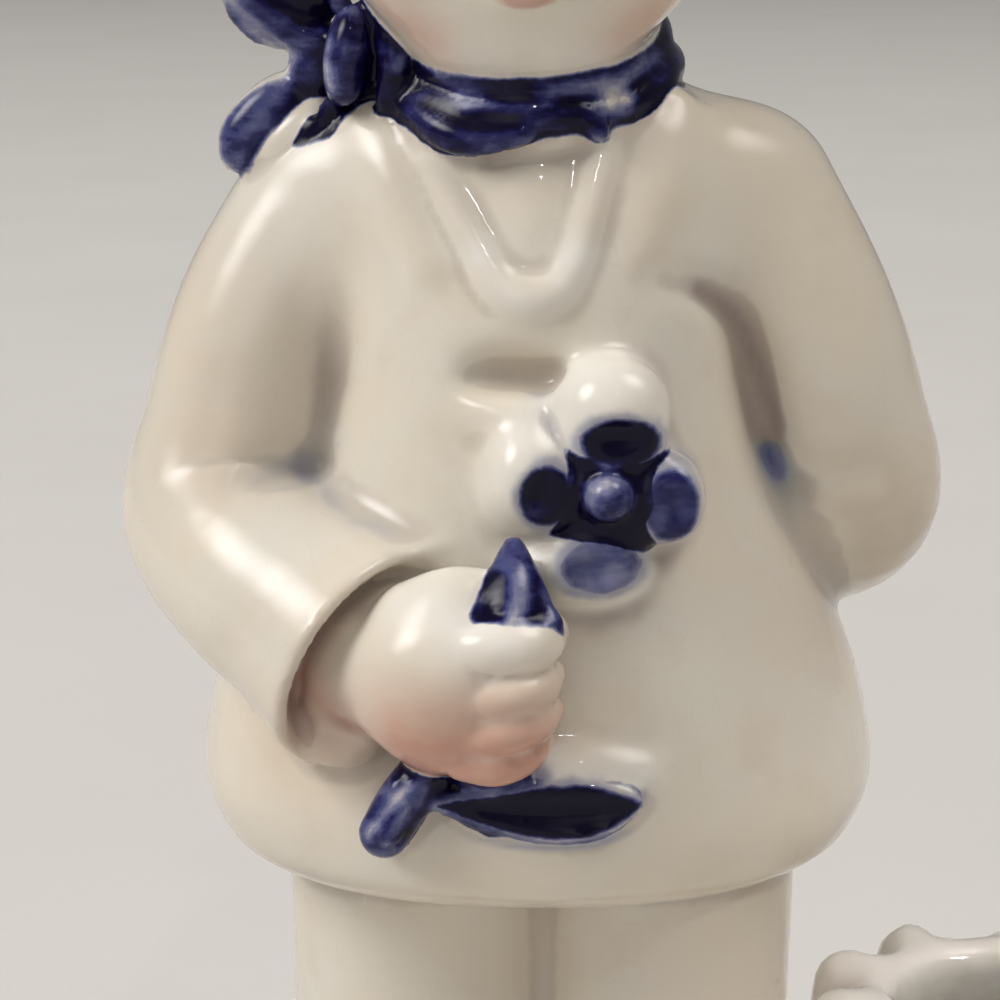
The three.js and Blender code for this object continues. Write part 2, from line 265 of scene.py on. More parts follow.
def flowerArmForms():
    sleeve = limb([[-19.5, -0.5, armSize["shoulderZ"], 9.2],
                   [-25.8, -2.6, 101, 9.2],
                   [-29.2, -4.6, 90, 9.2],
                   [-armSize["elbowX"], -7, 82.4, armSize["radius"]],
                   [-25.2, -14.6, 77.6, 9.9],
                   [-19, -19.4, 74.2, 10.2]], soft=6)
    facing = np.array(cuffSize["facing"])
    facing /= np.linalg.norm(facing)
    centre, radius = np.array(cuffSize["centre"]), cuffSize["radius"]
    length, depth = cuffSize["length"], cuffSize["depth"]

    def alongCuff(x, y, z):
        x, y, z = x - centre[0], y - centre[1], z - centre[2]
        h = x * facing[0] + y * facing[1] + z * facing[2]
        return h, np.sqrt(np.maximum(x * x + y * y + z * z - h * h, 0))

    def bell(x, y, z):
        h, r = alongCuff(x, y, z)
        wall = np.interp(h, [-length, -6, -2, 0, 2], [7.4, 9.8, radius - 0.5, radius, radius + 0.2])
        return carve(r - wall, -np.maximum(h, -length - h), 1.1)

    def hollow(x, y, z):
        h, r = alongCuff(x, y, z)
        wall = np.interp(h, [-depth, -3.8, -2.6, -0.9, 0.4, 3], [2, 5.6, 8, 9.7, radius - 0.6, radius + 2])
        return carve(r - wall, h + depth, 1.5)

    reach = radius + 3
    return [sleeve,
            form(centre - reach, centre + reach, bell, soft=1.8),
            form(centre - reach, centre + reach, hollow, soft=0.8, cut=True),
            ball((-17, -23.6, 65), (4.2, 2.9, 2.8), (0, -32, 0), soft=2.4),
            ball((-19.4, -22.6, 68), (2.6, 2.6, 3), soft=2.5)]


# each finger as a row of stations [x, y, z, radius], from the top one down
fingers = [
    [[-7, -32.6, 75.6, 2.5], [-3.4, -33.8, 76, 2.6], [-0.2, -33.1, 76.2, 2.3], [1, -29, 76.3, 2]],
    [[-6.4, -33.4, 71.5, 1.9], [-3, -34.9, 71.9, 1.9], [0, -33.8, 72.3, 1.8], [1, -29.4, 72.4, 1.7]],
    [[-6.2, -33.4, 68.1, 1.9], [-3, -34.7, 68.4, 1.85], [-0.2, -33.7, 69, 1.7], [0.9, -29.4, 69.1, 1.7]],
    [[-6.6, -32.4, 65.2, 1.9], [-3.6, -33.3, 65, 1.9], [-0.9, -32.5, 65.8, 1.7], [0.2, -28.8, 66.4, 1.6]],
]


def fistForms():
    return [limb([[-16.5, -21.5, 71.6, 6], [-12.5, -26, 71.8, 6.2], [-10, -28, 72, 6]], soft=1.5, steps=3),
            ball((-8, -28.9, 71.8), (8.1, 7.4, 8.9), soft=2.5),
            ball((-3.2, -29, 71.2), (4.6, 4.7, 7.2), soft=2),
            limb([[-17, -20.6, 75, 4.2], [-14.2, -21.6, 76, 3.8]], soft=2.5),
            limb([[-11, -27.6, 77.4, 3.2], [-7.6, -28.6, 79.2, 3], [-4.6, -28.8, 80, 2.2]], soft=2.5),
            ] + [limb(finger, soft=0.35, steps=4) for finger in fingers]


def backArmForms():
    made = [limb([[20.4, -0.5, armSize["shoulderZ"], 9.2],
                  [26.4, -2, 101, 9],
                  [30, -1.5, 91, 8.8],
                  [armSize["elbowX"] + 1, 3, 82, armSize["radius"] - 0.3],
                  [26, 17.5, 76, 9.5],
                  [13, 24.5, 72, 9.5]], soft=6),
            ball((-0.5, 26.5, 70), (8.2, 6.4, 7), soft=1.6),
            limb([[24.6, -5, 84.4, 2.4], [25.2, -4.2, 80.5, 2.8], [25.8, -3, 77.4, 2.2]], soft=4)]
    for k in range(4):
        z = 74.2 - 3 * k
        made.append(limb([[-1, 31.2, z, 1.8], [-6, 29.4, z - 0.3, 1.8]], soft=0.9, steps=2))
    return made


flowerSize = {"centre": (6.6, -24, 88.3), "spread": 6, "heart": 2.3, "ring": 4.3, "petalBack": -22.7,
              "petalDepth": 4.4}
petalShapes = [  # each petal's middle and half sizes, its lean into the smock, then its hollow's
    (7.2, 95.7, 5.2, 4.9, 26, 7.7, 93.3, 3.6, 2.3),
    (-0.6, 89.4, 3.9, 4.8, 20, 0.9, 88.3, 2.4, 2.9),
    (12.6, 87.5, 3.0, 3.9, 12, 12.3, 87.4, 2.5, 3.5),
    (3.9, 80.8, 6.1, 3.1, 4, 6.0, 81.7, 3.7, 2.5),
]


def petalForms():
    cx, _, cz = flowerSize["centre"]
    made = []
    for x, z, wide, high, lean, *_ in petalShapes:
        lean /= math.hypot(x - cx, z - cz)
        made.append(ball((x, flowerSize["petalBack"], z), (wide, flowerSize["petalDepth"], high),
                         (lean * (cz - z), 0, lean * (x - cx)), soft=0.5))
    return made + hollowForms()


def flowerBaseForms():
    cx, cy, cz = flowerSize["centre"]
    spread = flowerSize["spread"]
    return [ball((cx, cy + 0.9, cz), (spread, 2.6, spread), soft=0.7)]


def hollowForms():
    # the dished inside of each petal, which the darkest paint fills
    front = flowerSize["petalBack"] - flowerSize["petalDepth"]
    return [ball((x, front - 0.4, z), (wide, 2.0, high), soft=0.7, cut=True)
            for *_, x, z, wide, high in petalShapes]


def heartForms():
    cx, cy, cz = flowerSize["centre"]
    r = flowerSize["heart"]
    return [ball((cx, cy - 1.8, cz), (r, 2.8, r), soft=0.5)]


leafSize = {"front": -30.7}


def leafLimb(stations, soft, cut=False):
    # a flat leaf from a row of round stations [x, z, radius, depth of its face behind the leaf's front]
    front = leafSize["front"]
    return limb([[x, front + depth + (-r if cut else r), z, r] for x, z, r, depth in stations],
                soft=soft, steps=4, cut=cut)


def leafForms():
    return [leafLimb([[-9, 60, 0.8, 0.8], [-5, 59.5, 1.8, 0.3], [0.5, 59, 3.0, 0], [5.2, 59.2, 2.9, 0],
                      [8.8, 60, 1.2, 0.6]], 0.9)]


def leafHollowForms():
    return [leafLimb([[-8.2, 59.8, 0.7, 1.4], [-4.4, 59.4, 1.5, 1.6], [0.8, 59.1, 2.7, 1.8],
                      [4.8, 59.3, 2.5, 1.8], [8.2, 59.7, 1.1, 1.7]], 0.4, cut=True)]


def stemForms():
    # the stem's flattened end under the fist, and the small folded leaf above it
    made = [limb([[-9.6, -27.4, 63.4, 2.3], [-12.2, -28.3, 60, 2.5], [-14, -28, 56.8, 2.4]], soft=0.8),
            limb([[-10.4, -29.8, 62.6, 0.9], [-13.6, -30.4, 57.2, 1.0]], soft=0.4, steps=2),
            limb([[-12.6, -29.4, 61.8, 0.8], [-15.6, -28.9, 57.4, 0.8]], soft=0.4, steps=2),
            limb([[-9.6, -28.4, 60.8, 1.2], [-7.6, -28.6, 59.5, 1.1], [-4, -28.2, 57.6, 0.9]],
                 soft=0.8, steps=3),
            limb([[-9, -27.2, 64, 1.5], [-5, -29, 62.6, 1.6], [-1.4, -28.8, 62.6, 0.9]], soft=0.8, steps=3),
            limb([[-2, -26.8, 84.2, 0.8], [-2, -29.2, 81.4, 2.3], [-2.1, -30.6, 78.8, 3.2]], soft=0.8)]
    ridges = [([-2.2, -27.2, 84.6], [-3.9, -30.6, 81], [-5.1, -32.6, 78.6], 0.9),
              ([-1.8, -27.2, 83.8], [-1.8, -31.2, 80.6], [-2.1, -33.2, 78.4], 1.2),
              ([-1.3, -27, 83], [0, -30.4, 80.6], [1.4, -32.2, 78.4], 0.9)]
    for top, middle, foot, thick in ridges:
        made.append(limb([[*top, 0.6], [*middle, thick], [*foot, thick]], soft=0.5, steps=4))
    return made + [limb([[-5.3, -32.8, 78.5, 0.7], [-1.8, -34, 78, 0.8], [1.9, -32.4, 77.8, 0.8]], soft=0.6,
                        steps=3)]


def creaseForms():
    # hollows pressed into the finished form: above the bent elbows, and under the arm
    lines = [([[-27.8, -17.6, 88.2, 0.6], [-24.4, -15, 88.2, 1.0], [-21.6, -11.8, 88.6, 0.5]], 3.2),
             ([[26.4, -10.2, 85.6, 0.4], [29, -10.8, 85.6, 0.9], [32, -10.6, 86.2, 0.7]], 3.2),
             ([[11.6, -18.6, 107.4, 0.5], [16, -14.4, 105.4, 1.0], [19.3, -11.2, 102.2, 1.0],
               [21.2, -9.8, 97.8, 0.9], [22.8, -9.4, 91.6, 0.6]], 2.8)]
    return [limb(line, soft=soft, steps=4, cut=True) for line, soft in lines]


def collarForms():
    opening = [[-10.6, -11.4, 119.3, 1.9], [-7.2, -15.2, 113, 1.9], [-5.1, -17, 109.4, 2.0],
               [-3.1, -18.2, 106.4, 2.3], [-0.4, -18.7, 105.2, 2.6], [2.2, -18.2, 106.3, 2.3],
               [3.8, -17.2, 109.4, 2.0], [4.9, -15.8, 113.4, 1.9], [6.8, -12.4, 119.8, 1.9]]
    lapels = [[[-14.8, -7.6, 119.9, 2.2], [-12.6, -12, 114.8, 2.2], [-9.2, -15.2, 108.4, 1.8]],
              [[12.8, -8, 121.4, 2.2], [11, -13, 114, 2.0], [9, -15, 108, 1.4]]]
    return ([limb(line, soft=3, steps=3) for line in lapels]
            + [limb(opening, soft=0.9, steps=3)]
            + [ball((-0.2, -14.9, 111.6), (4.2, 2.9, 6.4), (-14, 0, 0), soft=1.8)])


scarfSize = {"x": -0.4, "z": 124.2, "halfWidth": 12.3, "halfDepth": 13.8, "tilt": 12}
scarfRolls = [(-0.7, 3.4, 2.1, 0.3), (0.5, 0.9, 2.0, 1.6), (-0.1, -2.2, 2.0, 3.9)]  # out, up, thick, phase


def ringRoll(shift, up, thick, phase):
    s = scarfSize
    tilt = math.radians(s["tilt"])

    def roll(x, y, z):
        x, y, z = x - s["x"], y + 1, z - s["z"]
        v, h = y * math.cos(tilt) + z * math.sin(tilt), z * math.cos(tilt) - y * math.sin(tilt)
        rho = np.hypot(x / s["halfWidth"], v / s["halfDepth"])
        out = (rho - 1) * s["halfWidth"]
        turn = np.arctan2(v, x)
        middle = up + 0.5 * np.sin(2 * turn + phase) + 0.3 * np.sin(5 * turn + 2 * phase)
        return np.hypot(out - shift, h - middle) - thick - 0.15 * np.sin(3 * turn + phase)

    wide = s["halfWidth"] + 4
    return form((-wide, -wide - 2, s["z"] - 9), (wide, wide, s["z"] + 9), roll, soft=0.5)


def scarfForms():
    return [ringRoll(*roll) for roll in scarfRolls[:2]] + [
        limb([[-12.6, -10, 122.6, 1.2], [-8.6, -14.4, 120.4, 1.7], [-5.4, -16.4, 119.6, 1.4],
              [-1, -17.2, 120.2, 0.9]], soft=0.8, steps=4),
        limb([[4.6, -15.4, 121.6, 1.1], [6.2, -15.9, 120.2, 0.9]], soft=0.7, steps=2)]


def scarfUnderForms():
    return [ringRoll(*scarfRolls[2])]


def bowForms():
    return [ball((-15.2, -4.4, 126.2), (4.4, 5, 4.6), soft=1),
            ball((-17.6, -9, 126.8), (2.3, 3.3, 4.9), (0, 8, 0), soft=0.5),
            limb([[-15.2, -8.6, 131.4, 1.3], [-13.2, -10.2, 127, 1.5], [-13.8, -10, 122.8, 1.3]], soft=0.4),
            ball((-20.6, -3.2, 125.4), (3, 2.8, 3.6), soft=1),
            ball((-23.6, -2.8, 134.6), (6.4, 2.4, 8), (0, 18, 0), soft=0.6),
            limb([[-18.8, -5, 128, 1.4], [-22, -4.6, 128.2, 1.4], [-25.4, -4.2, 130.4, 1.5],
                  [-28.6, -3.8, 133.4, 1.5], [-30, -3.4, 138, 1.5], [-27.4, -3, 142, 1.4],
                  [-23, -3.2, 141.6, 1.3], [-20, -4.2, 136.4, 1.2], [-18.2, -5.6, 131, 1.2]],
                 soft=0.6, steps=4),
            ball((-25.2, -3.2, 120), (6.4, 2.8, 3.8), (0, -42, 10), soft=0.6),
            limb([[-18.6, -7.2, 122.8, 1], [-20.4, -7.1, 120.7, 0.8], [-22.3, -6.5, 118.4, 0.5]], soft=0.4)]


def bowEdgeForms():
    # the turned edge along the hanging end, which stays the colour of the glaze
    return [limb([[-19.4, -3.8, 122.4, 0.8], [-21.8, -5.1, 120.6, 1.3], [-24.4, -5.2, 118, 1.5],
                  [-27.2, -4.2, 115.8, 1.0]], soft=0.4)]


headSize = {"x": -1, "y": -1.5, "z": 149, "halfWidth": 20.4, "halfDepth": 20, "halfHeight": 21.4}
jawSize = {"y": -9, "z": 140, "halfWidth": 15.2, "halfDepth": 13.2, "halfHeight": 17.9}
faceSize = {"eyeApart": 7.4, "cheekApart": 9.4, "earApart": 20.2}  # each from the middle of the head
hairSize = {"thickness": 2.8, "locks": 13, "lockDepth": 1.1, "strandDepth": 0.35, "twist": 0.5,
            "fringeZ": 156, "napeZ": 138}


def headForms():
    h, j = headSize, jawSize
    x, y, z = h["x"], h["y"], h["z"]
    made = [ball((x, y, z), (h["halfWidth"], h["halfDepth"], h["halfHeight"])),
            ball((x - 0.3, j["y"], j["z"]), (j["halfWidth"], j["halfDepth"], j["halfHeight"]), soft=5),
            limb([[x + 1, -1, 121, 11], [x + 0.5, -1.6, 129, 12.4]], soft=2, steps=1)]
    for side in (-1, 1):
        cheek, ear, eye = [x + side * faceSize[key] for key in ("cheekApart", "earApart", "eyeApart")]
        made.append(ball((cheek, y - 11.6, z - 10), (7.4, 6.4, 7), soft=5))
        made.append(ball((ear, y - 1, z - 7.5), (2.4, 3.4, 4.4), soft=2))
        made.append(ball((eye, y - 21.6, z - 1.6), (3.6, 2.4, 3), soft=2.5, cut=True))
        made.append(ball((eye, y - 17.2, z - 1.8), (2.7, 2.2, 2.5), soft=1))
    # the nose, the line between the lips and the lower lip
    made.append(ball((x, y - 20.2, z - 6.4), (2.2, 2.2, 1.9), soft=2))
    made.append(limb([[x - 5.8, -19.4, 135.4, 0.4], [x - 3, -21.2, 134.3, 0.5], [x, -21.8, 134, 0.5],
                      [x + 3, -21.2, 134.3, 0.5], [x + 5.8, -19.4, 135.4, 0.4]],
                     soft=0.8, steps=4, cut=True))
    made.append(limb([[x - 4, -19.3, 133.4, 0.8], [x, -20.6, 132.8, 1.0], [x + 4, -19.3, 133.4, 0.8]],
                     soft=2, steps=5))
    return made


def hairForms():
    h, g = headSize, hairSize
    centre = np.array([h["x"], h["y"] + 1.4, h["z"] + 1])
    radii = np.array([h["halfWidth"], h["halfDepth"], h["halfHeight"]]) + g["thickness"]
    bowl = ball(centre, radii)

    def locks(x, y, z):
        u, v, w = [(p - c) / r for p, c, r in zip((x, y, z), centre, radii)]
        turn = np.arctan2(v, u) + g["twist"] * (1 - w)
        fall = np.minimum(1, np.hypot(u, v) * 1.4)
        valley = 1 - np.abs(np.cos(turn * g["locks"] / 2))
        strand = 1 - np.abs(np.cos(turn * g["locks"] * 1.5 + 0.6 * np.sin(6 * w)))
        return bowl["distance"](x, y, z) + fall * (g["lockDepth"] * valley + g["strandDepth"] * strand)

    def below(x, y, z):
        return z - g["napeZ"] + 0 * x + 0 * y

    low, high = centre - radii, centre + radii
    return [form(low, high, locks),
            ball((h["x"], h["y"] - 20, g["fringeZ"] - 16.5), (18.4, 20, 16.5), soft=1.6, cut=True),
            form(low, (high[0], high[1], g["napeZ"] + 3), below, soft=2.2, cut=True)]


# Each group of forms is worked out by itself, then joined to the others, so that the paint can tell
# which of them a place on the surface belongs to. The softness of the join is one number, or a row of
# heights and the softness at each.
groups = {
    "plinth": (plinthForms(), 1.5),
    "legs": (legForms(), 1.8),
    "shoes": (shoeForms(), 1.0),
    "cup": (cupForms(), 1.6),
    "smock": (smockForms() + collarForms(), 1.8),
    "sleeve": (flowerArmForms(), ([60, 74, 84, 96, 110], [1.6, 1.6, 3.4, 3.6, 7])),
    "backArm": (backArmForms(), ([71, 77, 86, 96, 110], [1.6, 2.8, 3.6, 3.6, 7])),
    "fist": (fistForms(), 1.6),
    "head": (headForms(), 1.2),
    "hair": (hairForms(), 0.9),
    "scarfUnder": (scarfUnderForms(), 0.5),
    "scarf": (scarfForms(), 0.4),
    "bow": (bowForms(), 0.5),
    "bowEdge": (bowEdgeForms(), 0.5),
    "flowerBase": (flowerBaseForms(), 0.9),
    "petals": (petalForms(), 3.2),
    "heart": (heartForms(), 0.5),
    "leaf": (leafForms() + leafHollowForms(), 1.0),
    "stem": (stemForms(), 0.5),
}


creases = creaseForms()


def softAt(softness, z):
    return softness if isinstance(softness, float) else np.interp(z, *softness).astype(z.dtype)


def gather(forms, value, inside):
    # adds a group's forms to value, a field over points or over grid lines; inside picks a box of it
    for f in forms:
        where, coords = inside(f["low"] - away, f["high"] + away)
        if where is None:
            continue
        d = f["distance"](*coords)
        value[where] = (carve if f["cut"] else meet)(value[where], d, f["soft"])
    return value


def fieldAtPoints(points, apart=False):
    # the distance from the surface, and where asked for also from each group by itself
    x, y, z = points.T

    def inside(low, high):
        where = np.nonzero(((points > low) & (points < high)).all(1))[0]
        return (where if len(where) else None), (x[where], y[where], z[where])

    each = {}
    total = np.full(len(points), away)
    for name, (forms, soft) in groups.items():
        each[name] = gather(forms, np.full(len(points), away), inside)
        total = meet(total, each[name], softAt(soft, z))
    total = gather(creases, total, inside)
    return (total, each) if apart else total


def fieldOnGrid(lines):
    shape = [len(line) for line in lines]

    def inside(low, high):
        ranges = [slice(*np.searchsorted(line, (a, b))) for line, a, b in zip(lines, low, high)]
        x, y, z = [line[r] for line, r in zip(lines, ranges)]
        if not (len(x) and len(y) and len(z)):
            return None, None
        return tuple(ranges), (x[:, None, None], y[None, :, None], z[None, None, :])

    total = np.full(shape, away, np.float32)
    for forms, soft in groups.values():
        one = gather(forms, np.full(shape, away, np.float32), inside)
        total = meet(total, one, softAt(soft, lines[2]))
    return gather(creases, total, inside)


def gridLine(low, high, fineRange):
    # planes close together inside the fine range, opening out smoothly to the coarse spacing
    fine, coarse = skinGrid["fine"], skinGrid["coarse"]
    line = [low - skinGrid["margin"]]
    while line[-1] < high + skinGrid["margin"]:
        beyond = max(fineRange[0] - line[-1], line[-1] - fineRange[1], 0)
        line.append(line[-1] + min(coarse, fine + skinGrid["opening"] * beyond))
    return np.array(line, np.float32)


def skinOverGrid(lines, field):
    # one point in each cell that the surface crosses, and one four-sided face across each crossed edge
    inside = field < 0
    corners = [(i, j, k) for i in (0, 1) for j in (0, 1) for k in (0, 1)]
    cut = [slice(None, -1), slice(1, None)]
    count = sum(inside[cut[i], cut[j], cut[k]].astype(np.int8) for i, j, k in corners)
    cells = np.argwhere((count > 0) & (count < 8))
    number = np.full(count.shape, -1, np.int32)
    number[tuple(cells.T)] = np.arange(len(cells))
    total, hits = np.zeros((len(cells), 3)), np.zeros(len(cells))
    for a in corners:
        for axis in range(3):
            if a[axis]:
                continue
            b = list(a)
            b[axis] = 1
            fromCell, toCell = (cells + a), (cells + b)
            start, end = field[tuple(fromCell.T)], field[tuple(toCell.T)]
            crossed = (start < 0) != (end < 0)
            t = np.where(crossed, start / np.where(crossed, start - end, 1), 0)
            p = np.stack([lines[n][fromCell[:, n]] for n in range(3)], 1).astype(float)
            p[:, axis] += t * (lines[axis][toCell[:, axis]] - lines[axis][fromCell[:, axis]])
            total += p * crossed[:, None]
            hits += crossed
    points = total / hits[:, None]
    faces = []
    for axis in range(3):
        first, second = [n for n in range(3) if n != axis]
        near = [slice(None)] * 3
        far = [slice(None)] * 3
        near[axis], far[axis] = slice(None, -1), slice(1, None)
        edges = np.argwhere(inside[tuple(near)] != inside[tuple(far)])
        steps = [(0, 0), (1, 0), (1, 1), (0, 1)]
        quad = []
        for p, q in steps:
            cell = edges.copy()
            cell[:, first] -= p
            cell[:, second] -= q
            quad.append(number[tuple(cell.T)])
        quad = np.stack(quad, 1)
        turned = ~inside[tuple(edges.T)] ^ (axis == 1)
        quad[turned] = quad[turned][:, ::-1]
        faces.append(quad)
    return points, np.vstack(faces)


def slopeOfField(points, reach=0.08):
    slope = np.zeros_like(points)
    for n in range(3):
        step = np.zeros(3)
        step[n] = reach
        slope[:, n] = (fieldAtPoints(points + step) - fieldAtPoints(points - step)) / (2 * reach)
    return slope


def normalAt(points):
    slope = slopeOfField(points)
    return slope / np.maximum(np.linalg.norm(slope, axis=1), 1e-6)[:, None]


def settle(points, rounds):
    # moves each point straight onto the surface
    for _ in range(rounds):
        slope = slopeOfField(points)
        size = np.maximum((slope ** 2).sum(1), 0.05)
        move = fieldAtPoints(points)[:, None] * slope / size[:, None]
        points = points - np.clip(move, -0.5, 0.5)
    return points


def neighbourMean(values, edges, degree):
    # the mean of each point's neighbours, for one number or three a point
    columns = values if values.ndim == 2 else values[:, None]
    summed = np.stack([np.bincount(edges[:, 0], column[edges[:, 1]], len(values))
                       + np.bincount(edges[:, 1], column[edges[:, 0]], len(values))
                       for column in columns.T], 1)
    mean = summed / degree[:, None]
    return mean if values.ndim == 2 else mean[:, 0]


def makeSkin():
    low = np.min([f["low"] for forms, _ in groups.values() for f in forms if not f["cut"]], 0)
    high = np.max([f["high"] for forms, _ in groups.values() for f in forms if not f["cut"]], 0)
    lines = [gridLine(a, b, skinGrid[key]) for a, b, key in zip(low, high, ("fineX", "fineY", "fineZ"))]
    field = fieldOnGrid(lines)
    print("field worked out on", field.shape)
    points, faces = skinOverGrid(lines, field)
    edges = np.vstack([faces[:, [n, (n + 1) % 4]] for n in range(4)])
    edges = np.unique(np.sort(edges, 1), axis=0)
    degree = np.bincount(edges.ravel(), minlength=len(points)).astype(float)
    points = settle(points, 1)
    for _ in range(2):
        normal = normalAt(points)
        drift = neighbourMean(points, edges, degree) - points
        points = points + 0.6 * (drift - (drift * normal).sum(1)[:, None] * normal)
    points = settle(points, 2)
    # glaze fills the sharpest corners, where the slope turns fastest from point to point
    spread = 1 - np.linalg.norm(neighbourMean(normalAt(points), edges, degree), axis=1)
    rough = np.clip(neighbourMean(spread, edges, degree) * 12 - 0.5, 0, 1)
    for _ in range(6):
        points = points + 0.5 * rough[:, None] * (neighbourMean(points, edges, degree) - points)
    print("skin has", len(points), "points and", len(faces), "faces")
    return points, faces, edges, degree


# How the cobalt, the blush and the coral were brushed on. Loads run from 0, bare glaze, to 1, black-blue.
brushLoad = {"scarf": 0.97, "bow": 0.97, "stem": 0.9, "heart": 0.74, "leaf": 0.44, "flowerBase": 1.06,
             "shoes": 0.84}
hollowLoad = [1.06, 1.0, 0.76, 0.52]  # the petals' hollows, in the order of petalShapes
leafHollowLoad = 1.04
leafOutline = [(-9.2, 60, 0.1), (-5.4, 59.5, 1.2), (0.2, 59.1, 2.4), (4.6, 59.3, 2.4), (7.8, 59.6, 1.2),
               (9.4, 60, 0.3)]
# In each table a row is a line of places, or one place, then the radius and the strength of the mark.
touchesAndGlints = [  # more or less cobalt than the brush left elsewhere; the lighter rows along the ridges of the scarf, the bow's loop and knot and the folded leaf's middle ridge also stand for the glints on them, as painted highlight
    ([(-22.4, -5, 124.6)], 2.0, 0.2),
    ([(-23.4, -5, 123.8)], 1.4, -0.35),
    ([(-25.4, -5.6, 120.6)], 2.4, -0.2),
    ([(-16, -11, 126)], 1.8, 0.25),
    ([(6.3, -27.8, 90.3)], 1.3, -0.34),
    ([(6.8, -28.9, 87.4)], 1.2, 0.22),
    ([(11.2, -26.5, 86.2)], 1.2, -0.2),
    ([(0, -26.6, 87)], 1.0, -0.2),
    ([(-9.2, -28, 62)], 2.0, 0.3),
    ([(-11.8, -11.9, 127), (-10.6, -13.1, 126.4), (-8.8, -13.9, 125), (-6.1, -15.6, 123.7)], 1.1, -0.42),
    ([(-5, -16, 123.3), (-2.9, -17, 122.8), (1.1, -16.9, 123)], 0.5, -0.35),
    ([(1.5, -16.9, 124.5), (5.9, -14.9, 124.8), (8.8, -12, 125.9), (11.3, -7.9, 126.5)], 1.5, -0.34),
    ([(6.8, -14.6, 123.3), (8.4, -13.6, 123.6)], 1.2, -0.8),
    ([(9.6, -12.6, 122.8), (12.6, -8, 124.4)], 0.9, 0.3),
    ([(-7, -16.2, 120.4), (0, -18, 121), (5, -16.4, 121)], 1.2, 0.2),
    ([(0.5, -17.6, 119.4), (4, -17, 119.2), (8.4, -14, 120.2)], 0.8, -0.7),
    ([(-29.6, -4.4, 133.5), (-28, -4.6, 130.6), (-26.6, -4.3, 129.1), (-24.8, -3.8, 127.4),
      (-23, -4.7, 126.5)], 1.1, -0.5),
    ([(-20.2, -8.4, 120.8), (-22, -7.4, 118.6)], 1.0, 0.4),
    ([(-19.3, -10.9, 128), (-19.5, -11, 126.1), (-19.1, -11.2, 124.3)], 0.9, -0.45),
    ([(-20.3, -8, 129.5), (-18.7, -9.6, 130.4), (-17.2, -10.5, 131.1)], 0.7, -0.35),
    ([(-23.6, -3.8, 125), (-26.4, -3.6, 123.8), (-28.6, -3.6, 122), (-30.2, -3.6, 119.4),
      (-30.5, -3.8, 117), (-29.6, -4.2, 115.4)], 1.1, -1.0),
    ([(2.8, -26, 91.6), (3.4, -26, 90)], 0.5, -0.5),
    ([(3.6, -26.6, 92), (6.6, -26.6, 91.3), (9.8, -26.6, 92)], 0.4, -0.34),
    ([(5.4, -26.5, 83.9), (9, -26.5, 84.2)], 0.4, -0.35),
    ([(-1.8, -30.2, 82.4), (-1.6, -32.6, 80.6), (-2.2, -34.6, 79)], 0.9, -0.52),
    ([(-3.2, -31, 81.6), (-4, -33.2, 79.6)], 0.9, 0.4),
    ([(-0.6, -31, 81.2), (0.2, -33, 79)], 0.7, 0.25),
    ([(-3.6, -29.8, 82), (-5, -33, 79.4)], 0.4, -0.15),
    ([(-15.5, -29.9, 57.2), (-13.4, -30.8, 60.2), (-11.7, -30.3, 62.3)], 0.5, -0.5),
    ([(-13.8, -30.8, 56.6), (-12, -31, 59.8)], 0.45, -0.4),
    ([(-6, -29, 57.8), (0.4, -29.4, 56.4), (5, -29.4, 56.4), (8.4, -28.6, 57.6)], 0.6, 0.12),
    ([(1, -28.8, 62.2), (5, -29, 62.3), (8.4, -29.4, 61.5), (10.2, -29.6, 60.4)], 0.8, -0.3),
]
poolsAndShadows = [  # the blue that ran into the creases; the rows under the fist and along the leaf's lower rim are also painted shadow under those overhangs
    ([(-26.6, -14.8, 87.9), (-24.3, -12, 88.4), (-22, -9.8, 88.8)], 1.4, 0.18),
    ([(-21.9, -11, 86.8), (-18.7, -19, 85.1), (-14.6, -21.2, 83.8)], 2.0, 0.26),
    ([(-20.6, -12, 91.5)], 3.6, 0.05),
    ([(-18, -12, 99)], 4, 0.06),
    ([(22.8, -8, 88.6), (23.3, -7.5, 87)], 1.7, 0.8),
    ([(25, -8.4, 85)], 3, 0.22),
    ([(0, -21.4, 96.4), (1.6, -23.4, 92.6)], 2.0, 0.34),
    ([(1.2, -30, 65)], 1.4, 0.4),
    ([(-9.4, -29, 62), (-3, -30, 62.2), (0.4, -29, 62.6)], 1.5, 1.1),
    ([(-7.5, -28.4, 57), (-5.2, -28.4, 56), (0.4, -28.6, 55.4), (5.1, -28.5, 55.5), (9, -28, 56.8)],
     0.55, 0.7),
    ([(3, -24, 77.6), (-1, -26, 77)], 1.4, 0.2),
]
shades = [  # painted shade: brown darkening where shadow falls, in the valleys beside the arms, the elbow creases, inside the cuff, in the dent under the collar, under the bottom petal and the scarf, and low on the left cheek
    ([(-20, -12, 96)], 6, 0.6),
    ([(15.4, -13.2, 105.3), (19, -10, 102.4), (20.8, -8.6, 98.4), (22.4, -8.6, 92.6), (23, -8, 89)],
     1.0, 0.75),
    ([(15.4, -13.2, 105.3), (19, -10, 102.4), (20.8, -8.6, 98.4), (22.4, -8.6, 92.6)], 3.4, 0.35),
    ([(24.6, -8, 85.4), (28.6, -9.4, 85.6), (32, -9.6, 86.4)], 2.4, 0.4),
    ([(26, -9, 92)], 6, 0.5),
    ([(-19.5, -24, 72)], 7, 1.4),
    ([(-12.6, -14.6, 133.6), (-11.6, -15.4, 129.4)], 2.6, 0.5),
    ([(-18.6, -25.5, 67.9), (-16, -28.6, 66.6)], 0.9, 1.0),
    ([(-18.4, -25, 62.6), (-15.8, -26, 65)], 0.7, 0.9),
    ([(-1.4, -21, 98.4)], 4.5, 0.1),
    ([(2.4, -24.5, 77.4), (6, -24, 76.6), (10, -23, 78.2), (12.6, -22.6, 82)], 1.8, 1.2),
    ([(-4.6, -15.6, 118.2), (0, -17.4, 118), (5, -16, 118.4)], 1.2, 0.6),
]
